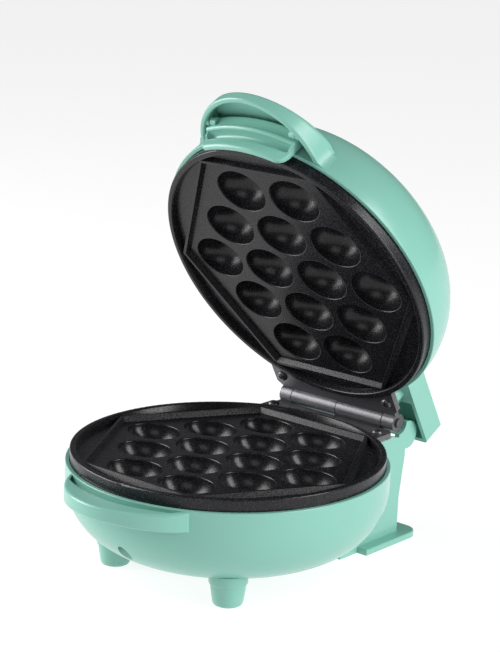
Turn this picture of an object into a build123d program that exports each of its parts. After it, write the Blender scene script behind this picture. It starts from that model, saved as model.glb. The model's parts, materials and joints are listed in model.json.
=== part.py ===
"""Donut maker with two round pocket plates, a hinged lid and a latch clip.

Everything is designed in millimetres with the lower plate's deck at height 0 and its centre at
X = Y = 0. +X is right, +Y runs back to the hinge and +Z is up. Lid pieces are drawn closed and then
opened about the hinge axis. Last of all the whole appliance is moved, so that its origin lies on the
floor under the middle of its outline.
"""
import os
from math import cos, radians, sin, sqrt

from build123d import *

# ---- driving dimensions -------------------------------------------------------------------------
plate_r = 90.0            # baking plate, outside radius
deck_t = 2.5              # thickness of the plate's deck
pocket_wall = 2.2         # thickness of the pocket bowls under it
lip_h = 4.0               # raised lip round the plate
lip_w = 3.4
skirt_h = 7.0             # skirt below the deck
skirt_t = 2.4
pocket_rx = 17.0          # pocket half length along X
pocket_ry = 13.7          # pocket half width along Y, and its depth
pocket_pitch = 38.8       # pocket spacing along a row
row_pitch = 28.1          # spacing of the rows
pocket_rows = (2, 3, 4, 3, 2)
pocket_edge = 0.6         # rounding where a pocket meets the deck
ridge_r = 84.5            # hexagonal ridge, centre to its side corners
ridge_half_front = 40.3   # half length of its front and back sides
ridge_apothem = 75.8      # centre to its front and back sides
ridge_h = 3.1
ridge_foot_w = 4.6
ridge_top_w = 1.7
lip_gap = 0.4             # between the two lips when the lid is closed

shell_r = 92.5            # housing, outside radius
shell_t = 2.2
rim_drop = 3.0            # housing rim below the deck
rim_round = 0.6
base_curve = (13.0, 39.0, 39.0)   # height of the straight side, then the curve's width and height
lid_curve = (5.0, 46.0, 49.0)
plate_to_floor = 65.5     # deck height above the floor

foot_x = 43.0
foot_y = -46.3
foot_top_r = 10.6
foot_bottom_r = 8.5
foot_round = 2.0
foot_pin_r = 3.0

ledge_half = 44.5         # front grip ledge of the base
ledge_step = 1.5          # how proud its ends stand where they meet the housing
ledge_reach = 110.0       # how far its front lies from the plate's centre
ledge_top = -3.7
ledge_mid_t = 8.0
ledge_end_t = 11.7
ledge_round = 1.6
well_depth = 3.0          # sunk crescent between ledge band and housing
well_front = 98.6
well_arc_r = 78.6
band_w = 2.4              # least width of the band round the crescent

lid_open = 60.7           # how far the lid stands open
hinge_y = 102.1
hinge_z = 6.0
barrel_r = 5.6
barrel_half = 43.5
knuckle_end_w = 8.6       # the two short knuckles
knuckle_gap = 0.5
pin_r = 2.0
pin_clear = 0.05
leaf_half = 46.0
leaf_t = 3.4
leaf_top = 2.6            # leaf face above its own deck
leaf_gap = 0.8            # between leaf and plate
leaf_screw_x = 40.0
leaf_screw_y = 87.0
swing_clear = 0.45        # round a turning knuckle

stand_half = 45.0         # outside of the two cheeks
cheek_t = 3.2
cheek_back = 104.0
cheek_neck = 108.5        # back of the cheek just below its round head
lobe_y = 110.5            # rounded head of a cheek
lobe_z = -2.5
lobe_r = 8.5
scoop_r = 6.7             # hollow in the cheek round the barrel
sole_half = 52.0          # foot plate of the stand
sole_front = 66.0
sole_back = 118.0
sole_t = 3.6
shelf_t = 3.2
stand_screw_x = 30.0
stand_screw_z = -14.0
fit_gap = 0.3             # between separate mouldings

hood_half = 50.0          # hinge hood on the back of the lid
hood_low = 17.4           # its open edge above the lower deck when closed
hood_high = 33.0
hood_back = 126.5
hood_t = 2.6
hood_screw_x = 28.0
hood_screw_z = 25.0

grip_r = 43.0             # arched grip on the front of the lid, outside radius
grip_reach = 119.5
grip_low = 12.6
grip_front_top = 18.6
grip_back_top = 27.0
grip_wall = 3.4
grip_roof = 2.6
grip_edge = 1.2           # rounding of its open rim
flare_r = 12.0            # hollow corner between grip and housing
flare_drop = 3.0          # its top below the grip's roof

clip_half = 31.0          # latch clip
clip_tip_z = -0.6
clip_lip_z = 12.4
clip_top_z = 19.2
clip_t = 2.2
clip_inner_r = 93.6
clip_rib_r = 90.5
pivot_y = -97.6
pivot_z = 16.2
pivot_r = 1.5
hub_r = 2.7
lug_t = 2.4
lug_gap = 0.5

post_ring_r = 82.5        # circle of the plate's screw posts
post_angles = (-90, 30, 150)
post_r = 3.8
post_low = -23.0
well_screw_r = 4.2
boss_r = 5.8
screw_r = 1.6
screw_head_r = 3.0
screw_head_h = 2.0
screw_clear = 0.05
well_roof = -27.5         # seat of the screw heads

element_ring_r = 56.0
element_r = 3.25
element_gap_deg = 30.0
strap_t = 1.2
strap_w = 9.0
strap_in_r = 51.0
strap_end = 3.2           # strap beyond the post's centre
reflector_t = 0.6
reflector_gap = 1.2       # between reflector and housing

bushing_r = 6.0           # cord grommet in the back of the base
bushing_z = -33.0
bushing_flange = 1.6
cord_hole_r = 3.6

lens_r = 3.0
lens_x = 9.0
lens_y = -38.0
lens_proud = 0.9

# ---- values that follow -------------------------------------------------------------------------
deck_gap = 2 * lip_h + lip_gap
mid_plane = Plane.XY.offset(deck_gap / 2)
base_depth = base_curve[0] + base_curve[2]
lid_depth = lid_curve[0] + lid_curve[2]
pocket_low = -pocket_ry - pocket_wall
element_z = pocket_low - element_r - 0.05
strap_top = post_low
strap_low = strap_top - strap_t
reflector_low = strap_low - reflector_t
floor_z = -plate_to_floor
knuckle_long_w = (2 * barrel_half - 2 * knuckle_end_w - 3 * knuckle_gap) / 2
lid_top = deck_gap + lid_depth


# ---- drawing helpers ----------------------------------------------------------------------------
def turned(points, arc=360.0, start=0.0):
    """Solid of revolution about Z from a closed list of (radius, height) points."""
    face = make_face(Polyline(*points, close=True))
    return revolve(Rot(0, 0, start) * (Plane.XZ * face), Axis.Z, arc)


def rod(radius, height, x=0.0, y=0.0, low=0.0):
    """Upright cylinder standing on height `low`."""
    return Pos(x, y, low) * Cylinder(radius, height, align=(Align.CENTER, Align.CENTER, Align.MIN))


def bar_x(radius, x_low, x_high, y, z):
    """Cylinder along X."""
    length = x_high - x_low
    return Pos((x_low + x_high) / 2, y, z) * Rot(0, 90, 0) * Cylinder(radius, length)


def block(x_low, x_high, y_low, y_high, z_low, z_high):
    """Box between two corners."""
    centre = Pos((x_low + x_high) / 2, (y_low + y_high) / 2, (z_low + z_high) / 2)
    return centre * Box(x_high - x_low, y_high - y_low, z_high - z_low)


def disc(radius, y, low, high):
    """Upright cylinder centred on X = 0."""
    return rod(radius, high - low, 0, y, low)


def side_plate(points, x_low, x_high):
    """Plate across X whose outline is a closed list of (y, z) points."""
    face = make_face(Polyline(*points, close=True))
    return extrude(Pos(x_low, 0, 0) * (Plane.YZ * face), x_high - x_low)


def bowl(curve, grow=0.0, top=-rim_drop):
    """Full body of a housing's outside, grown or shrunk by `grow`, with its rim at height `top`."""
    side, across, down = curve
    r_side = shell_r + grow
    r_flat = shell_r - across
    low = -side - down - grow
    corner = EllipticalCenterArc((r_flat, -side), across + grow, down + grow, -90, arc_size=90)
    outline = [
        Line((0, top), (r_side, top)),
        Line((r_side, top), (r_side, -side)),
        corner,
        Line((r_flat, low), (0, low)),
        Line((0, low), (0, top)),
    ]
    return revolve(Plane.XZ * make_face(outline), Axis.Z)


def shell_radius(curve, z):
    """Outside radius of a housing at height z."""
    side, across, down = curve
    fall = max(0.0, -side - z)
    return shell_r - across + across * sqrt(1 - (fall / down) ** 2)


bushing_y = shell_radius(base_curve, bushing_z)


def flipped(shape):
    """Mirror a lower piece into the closed lid."""
    return mirror(shape, mid_plane)


def on_ring(radius, angle):
    return radius * cos(radians(angle)), radius * sin(radians(angle))


def screw(head_z, tip_z, x, y, radius=screw_r, head_r=screw_head_r):
    """Pan-head cross-slot screw; its head lies on the side of head_z away from tip_z."""
    up = 1 if tip_z < head_z else -1
    shank = rod(radius, abs(head_z - tip_z), x, y, min(head_z, tip_z))
    head = rod(head_r, screw_head_h, x, y, head_z if up > 0 else head_z - screw_head_h)
    far_edge = head.edges().filter_by(GeomType.CIRCLE).sort_by(Axis.Z)[-1 if up > 0 else 0]
    head = fillet(far_edge, screw_head_h * 0.4)
    slot_z = head_z + up * screw_head_h
    slot = Pos(x, y, slot_z) * (Box(head_r * 1.2, 0.7, 1.8) + Box(0.7, head_r * 1.2, 1.8))
    return shank + head - slot


def arc_radius(half_chord, rise):
    return (half_chord ** 2 + rise ** 2) / (2 * rise)


# ---- baking plates ------------------------------------------------------------------------------
def pocket_centres():
    """Centres of all pockets, row by row from front to back."""
    centres = []
    middle_row = (len(pocket_rows) - 1) / 2
    for row, count in enumerate(pocket_rows):
        for place in range(count):
            x = (place - (count - 1) / 2) * pocket_pitch
            centres.append((x, (row - middle_row) * row_pitch))
    return centres


def half_egg(grow):
    """Lower half of an egg-shaped body that is round about X."""
    half_x = pocket_rx + grow
    half_y = pocket_ry + grow
    arc = EllipticalCenterArc((0, 0), half_x, half_y, 180, arc_size=180)
    return revolve(make_face([arc, Line((half_x, 0), (-half_x, 0))]), Axis.X, 180)


def hex_ridge():
    """Raised hexagonal rib with sloping flanks, standing on the deck."""
    corners = [
        (ridge_r, 0), (ridge_half_front, ridge_apothem), (-ridge_half_front, ridge_apothem),
        (-ridge_r, 0), (-ridge_half_front, -ridge_apothem), (ridge_half_front, -ridge_apothem),
    ]
    middle_line = make_face(Polyline(*corners, close=True))
    foot = offset(middle_line, ridge_foot_w / 2) - offset(middle_line, -ridge_foot_w / 2)
    lean = (ridge_foot_w - ridge_top_w) / 2
    taper = Vector(lean, ridge_h).get_angle(Vector(0, 1))
    return extrude(foot, ridge_h, taper=taper)


def lower_plate():
    inner = plate_r - lip_w
    body = turned([
        (0, 0), (inner - 1.2, 0), (inner, lip_h), (plate_r, lip_h), (plate_r, -skirt_h),
        (plate_r - skirt_t, -skirt_h), (plate_r - skirt_t, -deck_t), (0, -deck_t),
    ])
    lip_edges = body.edges().filter_by(GeomType.CIRCLE).group_by(Axis.Z)[-1]
    body = fillet(lip_edges, 1.0)
    body += hex_ridge()
    body += [Pos(x, y, 0) * half_egg(pocket_wall) for x, y in pocket_centres()]
    body -= [Pos(x, y, 0) * half_egg(0) for x, y in pocket_centres()]
    rims = body.edges().filter_by(lambda e: e.geom_type == GeomType.ELLIPSE and abs(e.center().Z) < 0.01)
    body = fillet(rims, pocket_edge)
    for angle in post_angles:
        x, y = on_ring(post_ring_r, angle)
        body += rod(post_r, -deck_t - post_low, x, y, post_low)
        body -= rod(screw_r + screw_clear, 14.0, x, y, post_low - 1)
    return body


def plate_screws():
    """Screws that hold housing, reflector, strap and plate together from below."""
    pieces = []
    for angle in post_angles:
        x, y = on_ring(post_ring_r, angle)
        pieces.append(screw(well_roof, post_low + 11.0, x, y))
    return pieces


# ---- heating parts ------------------------------------------------------------------------------
def element():
    """Tubular heating ring with its two cold ends turned down."""
    start = 90 + element_gap_deg / 2
    section = Pos(element_ring_r, 0, element_z) * (Plane.XZ * Circle(element_r))
    body = revolve(Rot(0, 0, start) * section, Axis.Z, 360 - element_gap_deg)
    for angle in (start, 180 - start):
        x, y = on_ring(element_ring_r, angle)
        body += Pos(x, y, element_z) * Sphere(element_r)
        body += rod(element_r, 11.0, x, y, element_z - 11.0)
        body += rod(1.2, 7.0, x, y, element_z - 18.0)
    return body


def straps():
    """Flat steel straps that carry the element from the plate's posts."""
    pieces = []
    for angle in post_angles:
        length = post_ring_r + strap_end - strap_in_r
        strap = Pos(strap_in_r + length / 2, 0, strap_low + strap_t / 2) * Box(length, strap_w, strap_t)
        strap = fillet(strap.edges().filter_by(Axis.Z), strap_w * 0.3)
        strap -= rod(screw_r + screw_clear, 4 * strap_t, post_ring_r, 0, strap_low - strap_t)
        pieces.append(Rot(0, 0, angle) * strap)
    return pieces


def reflector(curve):
    radius = shell_radius(curve, reflector_low) - shell_t - reflector_gap
    body = rod(radius, reflector_t, 0, 0, reflector_low)
    for angle in post_angles:
        x, y = on_ring(post_ring_r, angle)
        body -= rod(screw_r + screw_clear, 4.0, x, y, reflector_low - 1)
    for angle in (90 + element_gap_deg / 2, 90 - element_gap_deg / 2):
        x, y = on_ring(element_ring_r, angle)
        body -= rod(element_r + 0.8, 4.0, x, y, reflector_low - 1)
    return body


def thermostat():
    """Disc thermostat on the reflector, with its two blades."""
    top = strap_low
    body = rod(7.0, 5.0, 0, 0, top) + rod(5.0, 1.6, 0, 0, top + 5.0)
    for side in (-1, 1):
        body += block(side * 3.5 - 1.2, side * 3.5 + 1.2, 6.5, 13.5, top + 1.5, top + 2.3)
    return body


def thermal_fuse():
    """Sleeved fuse clipped under the reflector."""
    low = reflector_low - 5.0
    body = Pos(-30, 20, low + 2.5) * Rot(0, 90, 0) * Cylinder(2.5, 22)
    return body + block(-33, -27, 17.0, 23.0, reflector_low - 1.0, reflector_low)


# ---- base ---------------------------------------------------------------------------------------
def housing(curve, grip_block):
    """Open bowl with its grip and three screw bosses, whose wells are sunk in from outside."""
    body = bowl(curve)
    body = fillet(body.edges().filter_by(GeomType.CIRCLE).group_by(Axis.Z)[-1], rim_round)
    body = body + grip_block - bowl(curve, -shell_t, 1.0)
    low = -curve[0] - curve[2]
    places = [on_ring(post_ring_r, angle) for angle in post_angles]
    for x, y in places:
        body += rod(boss_r, reflector_low - low, x, y, low) & bowl(curve, -shell_t / 2, reflector_low)
    for x, y in places:
        body -= rod(well_screw_r, well_roof - low + 5, x, y, low - 5)
        body -= rod(screw_r + screw_clear, 20.0, x, y, well_roof - 1)
    return body


def ledge():
    """Front grip ledge with a sunk crescent in its top."""
    start_y = -sqrt(shell_r ** 2 - ledge_half ** 2) - ledge_step
    outer_r = arc_radius(ledge_half, ledge_reach + start_y)
    centre_y = -ledge_reach + outer_r
    low = ledge_top - ledge_end_t
    body = disc(outer_r, centre_y, low, ledge_top)
    body &= block(-ledge_half, ledge_half, -2 * ledge_reach, start_y + 14, low, ledge_top)
    arch_r = arc_radius(ledge_half, ledge_end_t - ledge_mid_t)
    arch = Pos(0, 0, ledge_top - ledge_mid_t - arch_r) * Rot(90, 0, 0) * Cylinder(arch_r, 4 * ledge_reach)
    body -= arch
    front_edges = body.faces().sort_by(Axis.Y)[0].edges()
    body = fillet(front_edges.filter_by(lambda e: e.center().Y < start_y - 5), ledge_round)
    well = disc(well_arc_r, -well_front + well_arc_r, ledge_top - well_depth, ledge_top + 1)
    well &= disc(outer_r - band_w, centre_y, ledge_top - well_depth, ledge_top + 1)
    for piece in (well - bowl(base_curve)).solids():
        body -= piece
    return body


def base_shell():
    body = housing(base_curve, ledge())
    hole_r = bushing_r + screw_clear
    body -= Pos(0, bushing_y, bushing_z) * Rot(90, 0, 0) * Cylinder(hole_r, 30)
    for side in (-1, 1):
        body -= stand_screw_hole(side)
        body -= rod(foot_pin_r + screw_clear, 12, side * foot_x, foot_y, -base_depth - 6)
    return body


def front_feet():
    """Two tapered feet, each with a spigot through the housing."""
    pieces = []
    for side in (-1, 1):
        foot = turned([(0, -40.0), (foot_top_r, -40.0), (foot_bottom_r, floor_z), (0, floor_z)])
        foot = fillet(foot.edges().filter_by(GeomType.CIRCLE).sort_by(Axis.Z)[0], foot_round)
        foot = Pos(side * foot_x, foot_y, 0) * foot
        foot -= bowl(base_curve)
        foot += rod(foot_pin_r, 10.0, side * foot_x, foot_y, -base_depth - 2)
        pieces.append(foot)
    return pieces


def cord_bushing():
    """Grommet where the supply cord would enter, with a flange each side of the wall."""
    lay = Pos(0, bushing_y, bushing_z) * Rot(90, 0, 0)
    body = lay * Cylinder(bushing_r, 16)
    wall = bowl(base_curve, fit_gap, 5) - bowl(base_curve, -shell_t - fit_gap, 6)
    flange = lay * Cylinder(bushing_r + bushing_flange, 12) - wall
    hole = lay * Cylinder(cord_hole_r, 40)
    return body + flange - hole


def stand_screw_hole(side):
    x = side * stand_screw_x
    return Pos(x, shell_r, stand_screw_z) * Rot(90, 0, 0) * Cylinder(screw_r + screw_clear, 40)


def cheek_outline():
    """Side view of a cheek, without its round head."""
    return [
        (50, floor_z), (cheek_back, floor_z), (cheek_back + 0.5, -40.0), (cheek_neck, lobe_z - lobe_r - 4.0),
        (cheek_neck, lobe_z), (hinge_y, lobe_z), (hinge_y - 7.0, leaf_top - leaf_t),
        (50, leaf_top - leaf_t),
    ]


def rear_stand():
    """Two cheeks on a foot plate, with a shelf that carries the lower hinge leaf."""
    body = block(-sole_half, sole_half, sole_front, sole_back, floor_z, floor_z + sole_t)
    body = fillet(body.edges().filter_by(Axis.Z).group_by(Axis.Y)[-1], 9.0)
    body = fillet(body.edges().group_by(Axis.Z)[-1], 0.8)
    for side in (-1, 1):
        inner = stand_half - cheek_t
        x_low, x_high = sorted((side * inner, side * stand_half))
        cheek = side_plate(cheek_outline(), x_low, x_high)
        cheek += bar_x(lobe_r, x_low, x_high, lobe_y, lobe_z)
        cheek -= bar_x(scoop_r, x_low - 1, x_high + 1, hinge_y, hinge_z)
        body += cheek
    shelf_top = leaf_top - leaf_t
    back_wall = block(-stand_half, stand_half, 60, shell_r + 4.0, -26.0, shelf_top)
    shelf = block(-stand_half, stand_half, 60, leaf_back(), shelf_top - shelf_t, shelf_top)
    body += back_wall + shelf
    body -= bowl(base_curve, fit_gap, 20)
    window = block(-14, 14, 60, 120, bushing_z - 12, bushing_z + 12)
    body -= window
    for side in (-1, 1):
        body -= rod(screw_r + screw_clear, 30.0, side * leaf_screw_x, leaf_screw_y, shelf_top - 20)
        body -= stand_screw_hole(side)
    return body


def inside_screw(x, z, wall_r):
    """Screw lying along Y, with its head inside a round wall of radius wall_r."""
    seat_y = sqrt(wall_r ** 2 - (abs(x) + screw_head_r) ** 2) - screw_clear
    return Pos(x, seat_y, z) * Rot(90, 0, 0) * screw(0, -10.0, 0, 0)


def stand_screws():
    """Screws from inside the housing into the stand."""
    wall_r = shell_radius(base_curve, stand_screw_z - screw_head_r) - shell_t
    return [inside_screw(side * stand_screw_x, stand_screw_z, wall_r) for side in (-1, 1)]


# ---- hinge --------------------------------------------------------------------------------------
def leaf_back():
    """Back edge of both leaves, clear of the other leaf's knuckles."""
    return hinge_y - barrel_r - swing_clear


def knuckles():
    """X ranges of the four knuckles from left to right."""
    spans = []
    x = -barrel_half
    for width in (knuckle_end_w, knuckle_long_w, knuckle_long_w, knuckle_end_w):
        spans.append((x, x + width))
        x += width + knuckle_gap
    return spans


def leaf(low, high, spans):
    """Flange that follows the plate's rim and carries the given knuckles."""
    arms_z = (low, high)
    body = block(-leaf_half, leaf_half, 60, leaf_back(), *arms_z)
    body = chamfer(body.edges().filter_by(Axis.Z).group_by(Axis.Y)[-1], 4.0)
    body -= rod(plate_r + leaf_gap, 40, 0, 0, -20)
    for x_low, x_high in spans:
        body += block(x_low, x_high, leaf_back() - 2, hinge_y, *arms_z)
        body += bar_x(barrel_r, x_low, x_high, hinge_y, hinge_z)
        body -= bar_x(pin_r + pin_clear, x_low - 1, x_high + 1, hinge_y, hinge_z)
    for side in (-1, 1):
        body -= rod(screw_r + screw_clear, 30, side * leaf_screw_x, leaf_screw_y, -15)
    return body


def lower_leaf():
    spans = knuckles()
    return leaf(leaf_top - leaf_t, leaf_top, (spans[0], spans[2]))


def upper_leaf():
    spans = knuckles()
    return leaf(deck_gap - leaf_top, deck_gap - leaf_top + leaf_t, (spans[1], spans[3]))


def leaf_screws():
    head_h = leaf_top
    return [screw(head_h, head_h - 12.0, side * leaf_screw_x, leaf_screw_y, head_r=2.8)
            for side in (-1, 1)]


def hinge_pin():
    """Steel pin, held in the lower leaf, with a shallow head at its right end."""
    pin = bar_x(pin_r, -barrel_half - 0.6, barrel_half + 1.2, hinge_y, hinge_z)
    return pin + bar_x(pin_r + 0.9, barrel_half + 0.2, barrel_half + 1.2, hinge_y, hinge_z)


# ---- lid ----------------------------------------------------------------------------------------
def grip_outer():
    """Arched grip before it is hollowed; its roof rises towards the dome."""
    centre_y = -grip_reach + grip_r
    body = disc(grip_r, centre_y, grip_low, grip_back_top + 10)
    body += block(-grip_r, grip_r, centre_y, centre_y + 30, grip_low, grip_back_top + 10)
    return body


def roof_cut(drop):
    """Everything above the sloping roof, lowered by `drop`."""
    front = (-grip_reach - 5, grip_front_top - drop)
    back = (-shell_r, grip_back_top - drop)
    return side_plate([front, back, (0, grip_back_top - drop), (0, 90), (-grip_reach - 5, 90)], -60, 60)


def latch_pin_reach():
    """Half length of the latch pin, which ends a little way into the grip's side walls."""
    return clip_half + lug_gap + lug_t + 0.4


def grip_flare(side):
    """Hollow-cornered gusset between the grip's round wall and the round housing."""
    grip_y = -grip_reach + grip_r
    far_grip, far_shell = grip_r + flare_r, shell_r + flare_r
    centre_y = (far_shell ** 2 - far_grip ** 2 + grip_y ** 2) / (2 * grip_y)
    centre_x = sqrt(far_shell ** 2 - centre_y ** 2)
    on_grip = (centre_x * grip_r / far_grip, grip_y + (centre_y - grip_y) * grip_r / far_grip)
    on_shell = (centre_x * shell_r / far_shell, centre_y * shell_r / far_shell)
    points = [on_grip, on_shell, (on_grip[0] - 1.5, on_shell[1]), (on_grip[0] - 1.5, on_grip[1])]
    face = make_face(Polyline(*[(side * x, y) for x, y in points], close=True))
    body = Pos(0, 0, grip_low) * extrude(face, grip_back_top - grip_low, dir=(0, 0, 1))
    body -= rod(flare_r, 60, side * centre_x, centre_y, 0)
    return body - roof_cut(flare_drop)


def grip():
    """Hollow arched grip, open downwards, with two lugs for the latch pin."""
    centre_y = -grip_reach + grip_r
    body = grip_outer() - roof_cut(0)
    crest = body.edges().filter_by(lambda e: e.center().Z > grip_low + 3 and e.center().Y < centre_y - 10)
    body = fillet(crest, 3.0)
    inside = disc(grip_r - grip_wall, centre_y, grip_low - 1, grip_back_top + 10)
    inside += block(-grip_r + grip_wall, grip_r - grip_wall, centre_y, centre_y + 30, grip_low - 1, 60)
    body -= inside - roof_cut(grip_roof) - flipped(bowl(lid_curve))
    rim = body.edges().filter_by(lambda e: abs(e.center().Z - grip_low) < 0.01 and e.center().Y < centre_y - 10)
    body = fillet(rim, grip_edge)
    for side in (-1, 1):
        x_low = clip_half + lug_gap
        span = sorted((side * x_low, side * (x_low + lug_t)))
        lug = block(*span, pivot_y - hub_r, pivot_y + hub_r, pivot_z, grip_back_top)
        lug += bar_x(hub_r, *span, pivot_y, pivot_z)
        body += lug - roof_cut(grip_roof / 2)
    for side in (-1, 1):
        body += grip_flare(side)
    pin_reach = latch_pin_reach() + screw_clear
    body -= bar_x(pivot_r + screw_clear, -pin_reach, pin_reach, pivot_y, pivot_z)
    return body


def lid_shell():
    body = flipped(housing(lid_curve, flipped(grip())))
    for side in (-1, 1):
        body -= rod(lens_r + screw_clear, 20, side * lens_x, lens_y, lid_top - 10)
        body -= hood_screw_hole(side)
    return body


def hood_screw_hole(side):
    x = side * hood_screw_x
    return Pos(x, shell_r, hood_screw_z) * Rot(90, 0, 0) * Cylinder(screw_r + screw_clear, 40)


def hinge_hood():
    """Channel over the hinge, open below, with bosses for the upper leaf's screws."""
    body = block(-hood_half, hood_half, 60, hood_back, hood_low, hood_high)
    back_edges = body.edges().group_by(Axis.Y)[-1].filter_by(lambda e: e.center().Z > hood_low + 1)
    body = fillet(back_edges, 2.0)
    inside = block(-hood_half + hood_t, hood_half - hood_t, 50, hood_back - hood_t, 0, hood_high - hood_t)
    inner_wall = block(-hood_half + hood_t, hood_half - hood_t, 60, shell_r + 3.2, hood_low, hood_high - 1)
    body -= inside - inner_wall
    seat = deck_gap - leaf_top + leaf_t
    for side in (-1, 1):
        body += rod(4.6, hood_high - seat - 1, side * leaf_screw_x, leaf_screw_y, seat)
    web = block(-leaf_screw_x, leaf_screw_x, leaf_screw_y + 6.0, leaf_screw_y + 8.4, seat, hood_high - 1)
    body += web
    body -= flipped(bowl(lid_curve, fit_gap, 20))
    for side in (-1, 1):
        body -= rod(screw_r + screw_clear, 14.0, side * leaf_screw_x, leaf_screw_y, seat - 1)
        body -= hood_screw_hole(side)
    return body


def hood_screws():
    """Screws from inside the lid into the hood."""
    wall_r = shell_radius(lid_curve, deck_gap - hood_screw_z - screw_head_r) - shell_t
    return [inside_screw(side * hood_screw_x, hood_screw_z, wall_r) for side in (-1, 1)]


def indicator_lenses():
    """Two small lamp lenses in the top of the lid."""
    top = lid_top
    pieces = []
    for side in (-1, 1):
        lens = rod(lens_r, shell_t + lens_proud, side * lens_x, lens_y, top - shell_t)
        lens = fillet(lens.edges().filter_by(GeomType.CIRCLE).sort_by(Axis.Z)[-1], 0.6)
        pieces.append(lens + rod(lens_r + 1.0, 1.0, side * lens_x, lens_y, top - shell_t - 1.0))
    return pieces


def lamp_holder():
    """Small carrier behind the two lenses, on two legs under the lid's top."""
    ceiling = lid_top - shell_t
    half = lens_x + 7.0
    body = block(-half, half, lens_y - 5, lens_y + 5, ceiling - 8.0, ceiling - 6.4)
    for side in (-1, 1):
        body += rod(2.6, 5.0, side * lens_x, lens_y, ceiling - 6.4)
        x_low, x_high = sorted((side * half, side * (half - 2.0)))
        body += block(x_low, x_high, lens_y - 5, lens_y + 5, ceiling - 8.0, ceiling)
    return body


# ---- latch --------------------------------------------------------------------------------------
def latch_clip():
    """Bent clip: a finger lip above, a tongue that grips the lower plate's rim below."""
    out = [
        (clip_inner_r, clip_tip_z), (clip_inner_r + clip_t, clip_tip_z), (clip_inner_r + clip_t + 0.9, 4.0),
        (clip_inner_r + clip_t - 0.2, 9.0), (clip_inner_r + clip_t + 3.0, clip_lip_z - 0.9),
        (clip_inner_r + clip_t + 3.6, clip_lip_z), (103.4, clip_top_z), (clip_inner_r + 1.2, clip_top_z),
        (clip_inner_r + 0.4, clip_lip_z),
    ]
    half_angle = 18.8
    body = turned(out, 2 * half_angle, -90 - half_angle)
    rib = [
        (clip_rib_r, clip_tip_z), (clip_inner_r + 0.5, clip_tip_z), (clip_inner_r + 0.5, clip_tip_z + 3.4),
        (clip_rib_r, clip_tip_z + 1.4),
    ]
    body += turned(rib, 16.0, -98.0)
    body &= block(-clip_half, clip_half, -103.0, 0, -10, 40)
    body += bar_x(hub_r, -clip_half, clip_half, pivot_y, pivot_z)
    body -= bar_x(pivot_r + pin_clear, -clip_half - 1, clip_half + 1, pivot_y, pivot_z)
    return body


def latch_pin():
    return bar_x(pivot_r, -latch_pin_reach(), latch_pin_reach(), pivot_y, pivot_z)


def solids_of(shape):
    """Flat list of the solids in a shape or a list of shapes."""
    shapes = shape if isinstance(shape, list) else [shape]
    return [solid for one in shapes for solid in one.solids()]


plate = lower_plate()
base_pieces = {
    "base_shell": base_shell(),
    "front_feet": front_feet(),
    "rear_stand": rear_stand(),
    "stand_screws": stand_screws(),
    "cord_bushing": cord_bushing(),
    "lower_plate": plate,
    "lower_plate_screws": plate_screws(),
    "lower_element": element(),
    "lower_straps": straps(),
    "lower_reflector": reflector(base_curve),
    "lower_thermostat": thermostat(),
    "thermal_fuse": thermal_fuse(),
    "lower_hinge_leaf": lower_leaf(),
    "lower_leaf_screws": leaf_screws(),
    "hinge_pin": hinge_pin(),
}
lid_pieces = {
    "lid_shell": lid_shell(),
    "hinge_hood": hinge_hood(),
    "hood_screws": hood_screws(),
    "upper_plate": flipped(plate),
    "upper_plate_screws": [flipped(one) for one in plate_screws()],
    "upper_element": flipped(element()),
    "upper_straps": [flipped(one) for one in straps()],
    "upper_reflector": flipped(reflector(lid_curve)),
    "upper_thermostat": flipped(thermostat()),
    "upper_hinge_leaf": upper_leaf(),
    "upper_leaf_screws": [flipped(one) for one in leaf_screws()],
    "indicator_lenses": indicator_lenses(),
    "lamp_holder": lamp_holder(),
    "latch_pin": latch_pin(),
}
latch_pieces = {"latch_clip": latch_clip()}

hinge_axis = Axis((0, hinge_y, hinge_z), (1, 0, 0))


def opened(shape):
    """Turn a closed lid piece to where the lid stands open."""
    return shape.rotate(hinge_axis, -lid_open)


nodes = {name: solids_of(shape) for name, shape in base_pieces.items()}
for name, shape in {**lid_pieces, **latch_pieces}.items():
    nodes[name] = [opened(solid) for solid in solids_of(shape)]

outline = Compound([solid for group in nodes.values() for solid in group]).bounding_box()
to_origin = Pos(0, -(outline.min.Y + outline.max.Y) / 2, plate_to_floor)

os.makedirs("parts", exist_ok=True)
for name, group in nodes.items():
    placed = [to_origin * solid for solid in group]
    shape = placed[0] if len(placed) == 1 else Compound(placed)
    export_step(shape, f"parts/{name}.step")

axis_at = to_origin * Pos(0, hinge_y, hinge_z)
print("hinge axis at", axis_at.position)
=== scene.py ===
# %% [markdown]
# # A donut maker, built round its CAD frame
# The CAD model gives every size, place and joint of this small kitchen appliance. This script puts
# the looks on it: the studio, the finishes, and the pieces whose rounded shapes are easier to
# model by hand than to design, such as the latch, the feet and the screw heads.

# %% Load the frame
import json
import math

import bpy
from mathutils import Matrix, Vector


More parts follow.
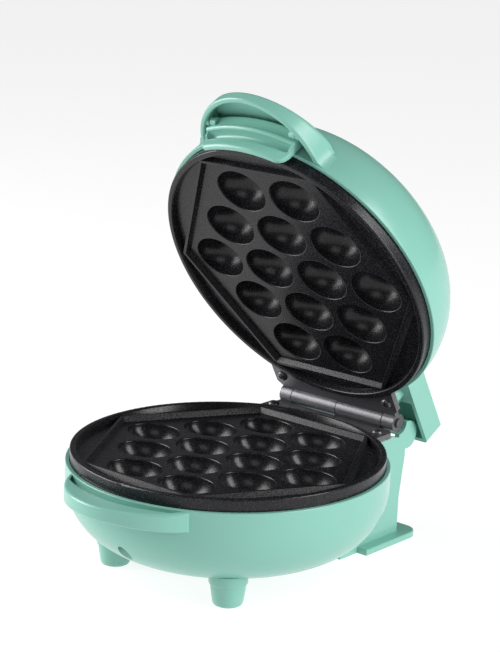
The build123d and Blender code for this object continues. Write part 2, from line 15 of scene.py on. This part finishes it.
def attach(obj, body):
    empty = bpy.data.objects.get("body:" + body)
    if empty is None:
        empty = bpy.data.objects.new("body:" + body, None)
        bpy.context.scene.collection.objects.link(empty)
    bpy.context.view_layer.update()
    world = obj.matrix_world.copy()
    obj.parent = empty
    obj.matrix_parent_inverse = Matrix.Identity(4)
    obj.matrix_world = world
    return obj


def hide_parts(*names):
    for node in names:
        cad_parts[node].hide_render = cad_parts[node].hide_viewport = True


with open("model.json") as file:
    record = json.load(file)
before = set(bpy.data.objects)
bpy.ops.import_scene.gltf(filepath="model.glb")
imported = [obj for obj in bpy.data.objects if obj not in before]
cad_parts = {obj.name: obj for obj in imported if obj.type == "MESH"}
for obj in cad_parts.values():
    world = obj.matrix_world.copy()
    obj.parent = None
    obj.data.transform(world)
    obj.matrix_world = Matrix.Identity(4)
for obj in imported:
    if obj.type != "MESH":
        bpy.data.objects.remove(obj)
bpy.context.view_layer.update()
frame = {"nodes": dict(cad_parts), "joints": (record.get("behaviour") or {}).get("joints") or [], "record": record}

nodes = frame["nodes"]
print("CAD nodes", len(nodes))

# %% [markdown]
# ## The camera
# A long lens from the front right, a little above the plates, as a catalogue picture is taken. It
# is placed in the frame's own metres, and turned by three angles: round the object, down, and a
# slight roll.

# %% Camera
camera_place = (0.7211, -0.8439, 0.4262)
camera_lens, camera_sensor = 112.15, 36.0       # millimetres
camera_round = math.radians(40.45)
camera_down = math.radians(14.55)
camera_roll = math.radians(1.89)

camera_data = bpy.data.cameras.new("catalogue_lens")
camera_data.lens = camera_lens
camera_data.sensor_width = camera_sensor
camera = bpy.data.objects.new("catalogue_camera", camera_data)
bpy.context.scene.collection.objects.link(camera)
bpy.context.scene.camera = camera
turn = Matrix.Rotation(camera_round, 4, "Z") @ Matrix.Rotation(math.pi / 2 - camera_down, 4, "X")
roll = Matrix.Rotation(camera_roll, 4, "Z")
camera.matrix_world = Matrix.Translation(camera_place) @ turn @ roll
print("camera at", [round(v, 3) for v in camera.matrix_world.translation])

# %% [markdown]
# ## The studio
# A pale sweep for a floor, a pale world, and a few big soft lights. The gloss plastic only looks
# like gloss plastic when it has broad bright shapes to reflect, so the lights are area lights as
# large as real softboxes.

# %% Floor and backdrop
floor_size = 60.0
paper_dark, paper_light = (0.22, 0.22, 0.221, 1), (0.23, 0.23, 0.23, 1)
paper_roughness = 0.75
paper_glow = 0.84          # keeps the paper near white without flooding the object with light
paper_cloud_scale = 3.0


def studio_paper():
    """Matt pale paper with a very faint unevenness."""
    paper = bpy.data.materials.new("studio_paper")
    paper.use_nodes = True
    tree = paper.node_tree
    shader = tree.nodes["Principled BSDF"]
    shader.inputs["Roughness"].default_value = paper_roughness
    shader.inputs["Emission Color"].default_value = (1.0, 1.0, 1.0, 1)
    shader.inputs["Emission Strength"].default_value = paper_glow
    where = tree.nodes.new("ShaderNodeTexCoord")
    cloud = tree.nodes.new("ShaderNodeTexNoise")
    cloud.inputs["Scale"].default_value = paper_cloud_scale
    tint = tree.nodes.new("ShaderNodeMix")
    tint.data_type = "RGBA"
    tint.inputs["A"].default_value = paper_dark
    tint.inputs["B"].default_value = paper_light
    tree.links.new(where.outputs["Object"], cloud.inputs["Vector"])
    tree.links.new(cloud.outputs["Fac"], tint.inputs["Factor"])
    tree.links.new(tint.outputs["Result"], shader.inputs["Base Color"])
    return paper


bpy.ops.object.select_all(action="DESELECT")
bpy.ops.mesh.primitive_plane_add(size=floor_size, location=(0, 0, 0))
floor = bpy.context.object
floor.name = "studio_floor"
floor.data.materials.append(studio_paper())
print("floor", floor.dimensions[:])


# %% Lights
aim_point = (0, 0, 0.13)
softboxes = [   # name, place, width, height, watts
    ("left_box", (-1.20, -0.65, 0.62), 1.0, 1.1, 26),
    ("right_box", (1.35, 0.25, 0.80), 0.7, 1.3, 24),
    ("front_box", (0.35, -1.50, 0.95), 0.9, 0.7, 3),
]
world_tint, world_strength = (0.97, 0.98, 1.0, 1), 0.12


def softbox(name, place, aim, width, height, watts):
    lamp = bpy.data.lights.new(name, "AREA")
    lamp.shape = "RECTANGLE"
    lamp.size, lamp.size_y = width, height
    lamp.energy = watts
    stand = bpy.data.objects.new(name, lamp)
    bpy.context.scene.collection.objects.link(stand)
    stand.location = place
    stand.rotation_euler = (Vector(aim) - Vector(place)).to_track_quat("-Z", "Y").to_euler()


for name, place, width, height, watts in softboxes:
    softbox(name, place, aim_point, width, height, watts)

world = bpy.data.worlds.new("studio_world")
bpy.context.scene.world = world
world.use_nodes = True
background = world.node_tree.nodes["Background"]
background.inputs["Color"].default_value = world_tint
background.inputs["Strength"].default_value = world_strength
bpy.context.scene.view_settings.view_transform = "Standard"


# %% [markdown]
# ## Finishes
# Each finish is a small node tree on Object coordinates, so that its grain has a real size in
# millimetres and stays still when the part moves. One helper starts the tree, and three small
# ones add what the finishes share: a noise, a colour between two tones, and a bump.

# %% Material helpers
def start_finish(name, roughness, metallic=0.0):
    finish = bpy.data.materials.new(name)
    finish.use_nodes = True
    shader = finish.node_tree.nodes["Principled BSDF"]
    shader.inputs["Roughness"].default_value = roughness
    shader.inputs["Metallic"].default_value = metallic
    return finish, finish.node_tree, shader


def noise_of_size(tree, grain, detail=2.0):
    """Noise on Object coordinates whose spots are about `grain` metres across."""
    where = tree.nodes.new("ShaderNodeTexCoord")
    noise = tree.nodes.new("ShaderNodeTexNoise")
    noise.inputs["Scale"].default_value = 1.0 / grain
    noise.inputs["Detail"].default_value = detail
    tree.links.new(where.outputs["Object"], noise.inputs["Vector"])
    return noise.outputs["Fac"]


def between(tree, factor, low, high, start=0.35, end=0.65):
    """Maps noise from start..end on to low..high."""
    span = tree.nodes.new("ShaderNodeMapRange")
    span.inputs["From Min"].default_value = start
    span.inputs["From Max"].default_value = end
    span.inputs["To Min"].default_value = low
    span.inputs["To Max"].default_value = high
    tree.links.new(factor, span.inputs["Value"])
    return span.outputs["Result"]


def two_tones(tree, factor, dark, light):
    tones = tree.nodes.new("ShaderNodeMix")
    tones.data_type = "RGBA"
    tones.inputs["A"].default_value = (*dark, 1)
    tones.inputs["B"].default_value = (*light, 1)
    tree.links.new(factor, tones.inputs["Factor"])
    return tones.outputs["Result"]


def add_bump(tree, shader, height, depth, strength):
    bump = tree.nodes.new("ShaderNodeBump")
    bump.inputs["Strength"].default_value = strength
    bump.inputs["Distance"].default_value = depth
    tree.links.new(height, bump.inputs["Height"])
    tree.links.new(bump.outputs["Normal"], shader.inputs["Normal"])


# %% [markdown]
# ### Moulded plastic
# The housing is glossy mint plastic. A real moulding is not perfectly even: its gloss wanders a
# little, and the surface has a faint long wave, like the peel of an orange.

# %% Gloss mint plastic
mint_dark, mint_light = (0.205, 0.470, 0.385), (0.215, 0.490, 0.402)
mint_ior = 1.5


def gloss_mint():
    finish, tree, shader = start_finish("gloss_mint", 0.25)
    shader.inputs["IOR"].default_value = mint_ior
    wander = noise_of_size(tree, 0.05)
    tones = two_tones(tree, wander, mint_dark, mint_light)
    tree.links.new(tones, shader.inputs["Base Color"])
    smudge = noise_of_size(tree, 0.02, 1.0)
    tree.links.new(between(tree, smudge, 0.23, 0.27), shader.inputs["Roughness"])
    add_bump(tree, shader, noise_of_size(tree, 0.009, 0.0), 0.00002, 0.06)
    return finish


# %% [markdown]
# ### Non-stick coating
# The plates are sprayed with a black coating that holds fine pale grains. It is half dull: it has
# broad, grainy highlights. Small noise gives the grains, and a finer one the sprayed roughness.

# %% Speckled coating
coating_black, coating_grain = (0.006, 0.006, 0.0075), (0.045, 0.045, 0.050)
coating_ior = 1.38


def non_stick():
    finish, tree, shader = start_finish("non_stick_coating", 0.34)
    shader.inputs["IOR"].default_value = coating_ior
    grains = between(tree, noise_of_size(tree, 0.0007, 3.0), 0.0, 1.0, 0.52, 0.72)
    tones = two_tones(tree, grains, coating_black, coating_grain)
    tree.links.new(tones, shader.inputs["Base Color"])
    dullness = between(tree, noise_of_size(tree, 0.0009, 2.0), 0.20, 0.33)
    tree.links.new(dullness, shader.inputs["Roughness"])
    add_bump(tree, shader, noise_of_size(tree, 0.0008, 2.0), 0.0001, 0.35)
    return finish


# %% [markdown]
# ### Metals, rubber and the hidden pieces
# The hinge is die-cast and coated black, its screws are blackened, the screws underneath are
# bright zinc, and the sheet and tube inside are plain aluminium and steel.

# %% Metals
def worn_metal(name, dark, light, roughness, grain, metallic=1.0, depth=0.00004):
    finish, tree, shader = start_finish(name, roughness, metallic)
    spots = between(tree, noise_of_size(tree, grain, 3.0), 0.0, 1.0)
    tree.links.new(two_tones(tree, spots, dark, light), shader.inputs["Base Color"])
    dullness = between(tree, spots, roughness * 0.85, roughness * 1.2, 0.0, 1.0)
    tree.links.new(dullness, shader.inputs["Roughness"])
    add_bump(tree, shader, noise_of_size(tree, grain * 0.7, 2.0), depth, 0.3)
    return finish


def matt_finish(name, dark, light, roughness, grain):
    return worn_metal(name, dark, light, roughness, grain, metallic=0.0, depth=0.00006)


def clear_lens():
    finish, tree, shader = start_finish("amber_lens", 0.08)
    shader.inputs["Transmission Weight"].default_value = 0.75
    tone = noise_of_size(tree, 0.002, 1.0)
    tones = two_tones(tree, tone, (0.75, 0.10, 0.05), (0.85, 0.16, 0.08))
    tree.links.new(tones, shader.inputs["Base Color"])
    return finish


finishes = {
    "mint_shell": gloss_mint(),
    "non_stick": non_stick(),
    "hinge_metal": worn_metal(
        "cast_hinge", (0.11, 0.11, 0.115), (0.20, 0.20, 0.21), 0.38, 0.0008, 0.9),
    "steel": worn_metal("zinc_steel", (0.50, 0.50, 0.51), (0.66, 0.66, 0.66), 0.28, 0.0012),
    "black_steel": worn_metal(
        "black_steel", (0.07, 0.07, 0.075), (0.14, 0.14, 0.145), 0.32, 0.0009, 0.8),
    "element_tube": worn_metal("tube_steel", (0.25, 0.24, 0.23), (0.38, 0.37, 0.36), 0.45, 0.0015),
    "reflector_sheet": worn_metal(
        "bright_sheet", (0.70, 0.70, 0.71), (0.82, 0.82, 0.83), 0.22, 0.003),
    "dark_plastic": matt_finish(
        "black_plastic", (0.03, 0.03, 0.03), (0.05, 0.05, 0.05), 0.5, 0.001),
    "rubber": matt_finish("black_rubber", (0.022, 0.022, 0.022), (0.04, 0.04, 0.04), 0.72, 0.0012),
    "lens": clear_lens(),
    "sleeve": matt_finish("glass_sleeve", (0.68, 0.65, 0.55), (0.85, 0.82, 0.74), 0.85, 0.0008),
}
print("finishes", sorted(finishes))

# %% Put the finishes on the CAD nodes
def dress(node, finish):
    if not node.material_slots:
        node.data.materials.append(finish)
    for slot in node.material_slots:
        slot.material = finish


for row in frame["record"]["subparts"]:
    dress(nodes[row["node"]], finishes[row["material_slot"]])

# %% [markdown]
# ## Where the pieces go
# Base pieces are drawn round the middle of the lower plate, with the deck at height 0, and lid
# pieces are drawn on the closed lid in the same way. Two matrices carry them to their places: one
# lifts them to the deck's height, and the other also swings the lid open about its hinge.

# %% Places of the base and of the open lid
hinge = next(joint for joint in frame["joints"] if joint["name"] == "lid_hinge")
hinge_point = Vector(hinge["pos_m"])
hinge_from_plate = Vector((0, 0.1021, 0.006))
lid_open = math.radians(60.7)
base_place = Matrix.Translation(hinge_point - hinge_from_plate)
swing = Matrix.Translation(hinge_point) @ Matrix.Rotation(-lid_open, 4, "X")
lid_place = swing @ Matrix.Translation(-hinge_from_plate)
MM = 0.001
print("plate centre", [round(v, 4) for v in base_place.translation])


# %% [markdown]
# ## Turned and swept pieces
# Most small pieces here are an outline turned about an axis. The outline starts as a circle
# primitive with as many corners as the outline has, its corners are moved on to the outline, and
# the spin operator sweeps it. A full turn gives a foot or a knob, and part of a turn gives the
# latch.

# %% Outline helpers
def circle_on_outline(name, outline, fill):
    """Circle primitive whose corners are moved to (radius, height) points in millimetres."""
    bpy.ops.object.select_all(action="DESELECT")
    bpy.ops.mesh.primitive_circle_add(vertices=len(outline), radius=0.01, fill_type=fill)
    piece = bpy.context.object
    piece.name = name
    for corner, (radius, height) in zip(piece.data.vertices, outline):
        corner.co = (radius * MM, 0, height * MM)
    return piece


def spin_about_z(piece, start, sweep, steps):
    """Sweeps the whole mesh clockwise about Z, from the angle `start`, and cleans it."""
    piece.data.transform(Matrix.Rotation(math.radians(start), 4, "Z"))
    bpy.ops.object.mode_set(mode="EDIT")
    bpy.ops.mesh.select_all(action="SELECT")
    bpy.ops.mesh.spin(steps=steps, angle=math.radians(sweep), center=(0, 0, 0), axis=(0, 0, 1))
    bpy.ops.mesh.select_all(action="SELECT")
    bpy.ops.mesh.remove_doubles(threshold=1e-6)
    bpy.ops.mesh.normals_make_consistent(inside=False)
    bpy.ops.object.mode_set(mode="OBJECT")


def apply_modifier(piece, kind, **settings):
    modifier = piece.modifiers.new(kind.lower(), kind)
    for key, value in settings.items():
        setattr(modifier, key, value)
    bpy.ops.object.select_all(action="DESELECT")
    piece.select_set(True)
    bpy.context.view_layer.objects.active = piece
    bpy.ops.object.modifier_apply(modifier=modifier.name)


def smooth_by_angle(piece, degrees=35):
    bpy.ops.object.select_all(action="DESELECT")
    piece.select_set(True)
    bpy.context.view_layer.objects.active = piece
    bpy.ops.object.shade_smooth_by_angle(angle=math.radians(degrees))


def finish_piece(piece, place, body, slot, *stands_for):
    """Puts the piece in place, gives it the slot's finish, hangs it on its body, and hides the CAD nodes it stands
    for.
    """
    piece.data.transform(place)
    piece.data.materials.clear()
    piece.data.materials.append(finishes[slot])
    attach(piece, body)
    if stands_for:
        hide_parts(*stands_for)
    print(piece.name, "faces", len(piece.data.polygons))
    return piece


def rounded_outline(corners, steps=4):
    """Smooth closed line through the corners, in `steps` short pieces between each two."""
    line = []
    count = len(corners)
    for index in range(count):
        before, here, there, after = (
            Vector(corners[(index + shift) % count]) for shift in (-1, 0, 1, 2))
        for step in range(steps):
            t = step / steps
            line.append(0.5 * (2 * here + (there - before) * t
                               + (2 * before - 5 * here + 4 * there - after) * t * t
                               + (3 * here - before - 3 * there + after) * t ** 3))
    return [tuple(point) for point in line]


# %% [markdown]
# ## Latch
# The latch is a bent plastic clip: a finger lip with a rounded bead, a groove under it, and an
# apron that hugs the plate's rim and snaps under the lower half. Its outline is smooth all round,
# so it is a rounded outline swept through part of a turn. Both ends are then shaped by moving
# points: the groove closes before it reaches an end, and the apron's lower corners are rounded.

# %% Latch clip
latch_corners = [
    (93.7, -0.2), (94.9, -1.0), (96.2, -0.6), (96.9, 0.8), (97.0, 3.4), (97.0, 6.0), (95.6, 7.0),
    (94.8, 8.6), (95.4, 10.4), (98.0, 10.9), (99.8, 10.5), (101.0, 11.0), (101.4, 12.2),
    (101.0, 13.6), (101.3, 16.0), (102.3, 18.3), (102.0, 19.3), (100.0, 19.6), (97.0, 19.6), (94.8, 19.4),
    (94.0, 18.2), (93.8, 12.0), (93.7, 6.0),
]
latch_half_sweep = 18.6
latch_steps = 72
latch_end_reach = 6.0
latch_arc_r = 98.0                       # turns an angle into a length along the latch
latch_bevel = 0.0006
apron_top = 8.0
corner_lift = 0.8
groove_r, groove_low, groove_high = 94.6, 5.0, 12.6
groove_fade_start, groove_fade = 1.0, 2.4
wall_r, wall_slope = 97.2, 0.42          # the wall that closes the groove at its ends


def eased(x):
    x = min(1.0, max(0.0, x))
    return x * x * (3 - 2 * x)


def shape_latch_ends(piece):
    """Closes the groove and rounds the apron's corners near both ends."""
    for point in piece.data.vertices:
        x, y, z = point.co
        radius = math.hypot(x, y) / MM
        angle = math.atan2(x, -y)
        from_end = (math.radians(latch_half_sweep) - abs(angle)) * latch_arc_r
        height = z / MM
        if radius > groove_r and groove_low < height < groove_high:
            closed = 1 - eased((from_end - groove_fade_start) / groove_fade)
            wall = wall_r + (height - groove_low) * wall_slope
            radius += max(0.0, wall - radius) * closed
        if height < apron_top and from_end < latch_end_reach:
            lift = 1 - math.sqrt(1 - (1 - max(0.0, from_end) / latch_end_reach) ** 2)
            height += (apron_top - height) * lift * corner_lift
        reach = radius * MM
        point.co = (math.sin(angle) * reach, -math.cos(angle) * reach, height * MM)


latch = circle_on_outline("latch_lever", rounded_outline(latch_corners), "NGON")
spin_about_z(latch, -90 + latch_half_sweep, 2 * latch_half_sweep, latch_steps)
shape_latch_ends(latch)
apply_modifier(latch, "BEVEL", width=latch_bevel, segments=3,
               limit_method="ANGLE", angle_limit=math.radians(50))
smooth_by_angle(latch)
finish_piece(latch, lid_place, "latch", "mint_shell", "latch_clip")

# %% [markdown]
# ## Latch pin
# The latch turns on a steel pin between two lugs in the grip. Only its ends can be seen, beside
# the round hubs of the latch, so those are what is modelled: short turned pieces laid along X.

# %% A piece turned all the way round
def open_chain(piece):
    """Deletes the edge between the two points on the axis, so that the spin makes no wall there."""
    bpy.ops.object.mode_set(mode="EDIT")
    bpy.ops.mesh.select_all(action="DESELECT")
    bpy.ops.object.mode_set(mode="OBJECT")
    for edge in piece.data.edges:
        edge.select = all(abs(piece.data.vertices[v].co.x) < 1e-9 for v in edge.vertices)
    bpy.ops.object.mode_set(mode="EDIT")
    bpy.ops.mesh.select_mode(type="EDGE")
    bpy.ops.mesh.delete(type="EDGE")
    bpy.ops.mesh.select_mode(type="VERT")
    bpy.ops.object.mode_set(mode="OBJECT")


def turned_piece(name, outline, steps=64):
    piece = circle_on_outline(name, outline, "NOTHING")
    open_chain(piece)
    spin_about_z(piece, 0, 360, steps)
    smooth_by_angle(piece)
    return piece


# %% Latch hubs and pin ends
pivot_back, pivot_up = -97.6, 16.2
hub_side, pin_side = 26.4, 30.6          # inner ends, from the middle of the latch
hub_outline = [(0, 0), (2.3, 0), (2.7, 0.4), (2.7, 4.1), (2.3, 4.5), (0, 4.5)]
pin_outline = [(0, 0), (1.5, 0), (1.5, 3.6), (0, 3.6)]
for side, word in ((-1, "left"), (1, "right")):
    lay = Matrix.Rotation(math.radians(90 * side), 4, "Y")
    hub = turned_piece("latch_hub_" + word, hub_outline, 32)
    hub_place = Matrix.Translation((side * hub_side * MM, pivot_back * MM, pivot_up * MM))
    finish_piece(hub, lid_place @ hub_place @ lay, "latch", "mint_shell", "latch_clip")
    pin = turned_piece("latch_pin_" + word, pin_outline, 24)
    pin_place = Matrix.Translation((side * pin_side * MM, pivot_back * MM, pivot_up * MM))
    finish_piece(pin, lid_place @ pin_place @ lay, "lid", "steel", "latch_pin")

# %% [markdown]
# ## Hinge screws
# Four pan-head screws with a cross recess hold the two hinge leaves. The head and shank are one
# turned outline. The recess is cut by two crossed wedges with a boolean, as a punch makes it, and
# each screw has stopped at its own angle.

# %% Hinge screws
screw_outline = [
    (0, 2.2), (1.4, 2.1), (2.5, 1.7), (3.1, 1.1), (3.4, 0.4),
    (3.4, 0), (1.6, 0), (1.6, -9.4), (0, -9.4),
]
screw_side, screw_back = 40.0, 87.0
lower_seat, upper_seat = 2.6, 5.8
recess_reach, recess_width, recess_depth = 4.4, 0.95, 3.0
recess_narrow = 0.45                     # share of its reach left at the bottom


def punch_cross(head, top):
    """Cuts a cross recess that narrows downwards into the head whose top is at `top`."""
    for quarter in (0, 90):
        bpy.ops.object.select_all(action="DESELECT")
        bpy.ops.mesh.primitive_cube_add(size=MM)
        wedge = bpy.context.object
        for corner in wedge.data.vertices:
            narrow = recess_narrow if corner.co.z < 0 else 1.0
            corner.co.x *= recess_reach * narrow
            corner.co.y *= recess_width
            corner.co.z = corner.co.z * recess_depth + top * MM
        wedge.data.transform(Matrix.Rotation(math.radians(quarter), 4, "Z"))
        apply_modifier(head, "BOOLEAN", operation="DIFFERENCE", object=wedge, solver="EXACT")
        bpy.data.objects.remove(wedge)


hinge_screws = [
    ("lower_left", -1, 18, base_place, lower_seat, 0, "base", "lower_leaf_screws"),
    ("lower_right", 1, 52, base_place, lower_seat, 0, "base", "lower_leaf_screws"),
    ("upper_left", -1, 33, lid_place, upper_seat, 180, "lid", "upper_leaf_screws"),
    ("upper_right", 1, 74, lid_place, upper_seat, 180, "lid", "upper_leaf_screws"),
]
for word, side, stopped, place, seat, flip, body, node in hinge_screws:
    screw = turned_piece("hinge_screw_" + word, screw_outline, 36)
    punch_cross(screw, screw_outline[0][1])
    smooth_by_angle(screw)
    at = Matrix.Translation((side * screw_side * MM, screw_back * MM, seat * MM))
    facing = Matrix.Rotation(math.radians(flip), 4, "X")
    turned = facing @ Matrix.Rotation(math.radians(stopped), 4, "Z")
    finish_piece(screw, place @ at @ turned, body, "black_steel", node)

# %% [markdown]
# ## Front feet
# The two front feet are tapered moulded cups with a slight collar under the housing and a rounded
# bottom edge. Each is an outline from axis to axis, turned all the way round.

# %% Feet
foot_outline = [
    (0, -46.5), (10.3, -46.5), (10.9, -47.0), (10.9, -52.3), (10.6, -53.0), (10.1, -53.4),
    (10.0, -54.2), (9.3, -59.0), (8.75, -62.6), (8.5, -63.9), (7.9, -65.0), (7.0, -65.45),
    (5.8, -65.5), (5.2, -65.2), (4.6, -64.9), (0, -64.9),
]
foot_side, foot_front = 43.0, -46.3

for side, word in ((-1, "left"), (1, "right")):
    foot = turned_piece("front_foot_" + word, foot_outline)
    stand = base_place @ Matrix.Translation((side * foot_side * MM, foot_front * MM, 0))
    finish_piece(foot, stand, "base", "mint_shell", "front_feet")
